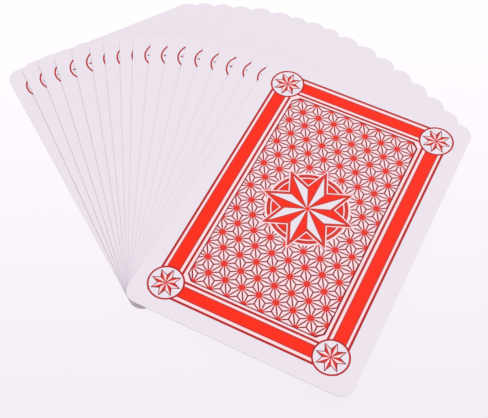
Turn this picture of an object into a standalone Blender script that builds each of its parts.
"""A fan of jumbo playing cards, backs up, opened from one corner on a table.

Metres, +Z up. The origin is the point on the table about which the fan was opened, and +Y runs along
the middle of the fan. Every card is a flat plate with rounded corners, one above the next.
"""

import math

import bmesh
import bpy
from mathutils import Matrix, Vector

# One card
CARD_WIDTH = 0.087
CARD_LENGTH = 0.125
CARD_THICKNESS = 0.0003
CORNER_RADIUS = 0.005
CORNER_STEPS = 8

# The pile: how far apart two cards lie, and where the held corner is pinched
AIR_GAP = 0.00005
PIVOT_FROM_SIDE = 0.0043
PIVOT_FROM_END = 0.0053

# The fan as a hand's sweep leaves it: how many degrees each card is turned past the one below it, the most that
# a card slid out along its length, and the share of that by which each card did, from the table up
FAN_STEPS = (3.3, 3.4, 3.4, 3.7, 3.7, 2.9, 3.2, 2.8, 3.6, 3.6, 3.8, 3.7, 3.6, 3.9, 3.5, 3.4)
FAN_PUSH = 0.0034
FAN_SLIDES = (0, 0.29, 0.45, 0.56, 0.88, 1, 0.92, 0.97, 0.86, 0.76, 0.67, 0.47, 0.29, 0.07, 0.06, 0, 0)

# Card names, from the table up: two suits of number cards, less the last one
RANKS = ("two", "three", "four", "five", "six", "seven", "eight", "nine", "ten")
PILE = [f"{rank}_of_hearts" for rank in RANKS] + [f"{rank}_of_spades" for rank in RANKS[1:]]

# Coated card stock, seen as its unprinted white
STOCK_COLOUR = (0.83, 0.77, 0.85, 1.0)
STOCK_ROUGHNESS = 0.5


def clear_scene():
    for old in list(bpy.data.objects):
        bpy.data.objects.remove(old, do_unlink=True)


def turn_at(position):
    """How far this card is turned anticlockwise from the middle of the fan."""
    return math.radians(sum(FAN_STEPS) / 2 - sum(FAN_STEPS[:position]))


def stock_material(name):
    material = bpy.data.materials.new(f"{name}_stock")
    material.use_nodes = True
    shader = material.node_tree.nodes["Principled BSDF"]
    shader.inputs["Base Color"].default_value = STOCK_COLOUR
    shader.inputs["Roughness"].default_value = STOCK_ROUGHNESS
    shader.inputs["Metallic"].default_value = 0.0
    return material


def card_mesh(name, push):
    """A rounded plate whose underside is at z = 0, with the pivot of the fan at its origin.

    push slides the plate along its own length, away from the pivot.
    """
    middle = Vector((CARD_WIDTH / 2 - PIVOT_FROM_SIDE, CARD_LENGTH / 2 - PIVOT_FROM_END + push, 0))
    bm = bmesh.new()
    size = Matrix.Diagonal((CARD_WIDTH, CARD_LENGTH, 1, 1))
    bmesh.ops.create_grid(bm, x_segments=1, y_segments=1, size=0.5, matrix=Matrix.Translation(middle) @ size)
    bmesh.ops.bevel(
        bm,
        geom=bm.verts[:],
        affect="VERTICES",
        offset=CORNER_RADIUS,
        segments=CORNER_STEPS,
        profile=0.5,
    )
    grown = bmesh.ops.extrude_face_region(bm, geom=bm.faces[:])
    top = [item for item in grown["geom"] if isinstance(item, bmesh.types.BMVert)]
    bmesh.ops.translate(bm, verts=top, vec=(0, 0, CARD_THICKNESS))
    bmesh.ops.recalc_face_normals(bm, faces=bm.faces[:])
    mesh = bpy.data.meshes.new(name)
    bm.to_mesh(mesh)
    bm.free()
    return mesh


def add_card(position, face, pivot):
    """The card at this position in the pile, counted from 0 on the table, turned to its place in the fan."""
    name = f"card_{position + 1:02d}_{face}"
    card = bpy.data.objects.new(name, card_mesh(name, FAN_PUSH * FAN_SLIDES[position]))
    card.data.materials.append(stock_material(name))
    card.parent = pivot
    card.location.z = position * (CARD_THICKNESS + AIR_GAP)
    card.rotation_euler.z = turn_at(position)
    bpy.context.scene.collection.objects.link(card)


def main():
    clear_scene()
    pivot = bpy.data.objects.new("fan_pivot", None)
    bpy.context.scene.collection.objects.link(pivot)
    for position, face in enumerate(PILE):
        add_card(position, face, pivot)


main()
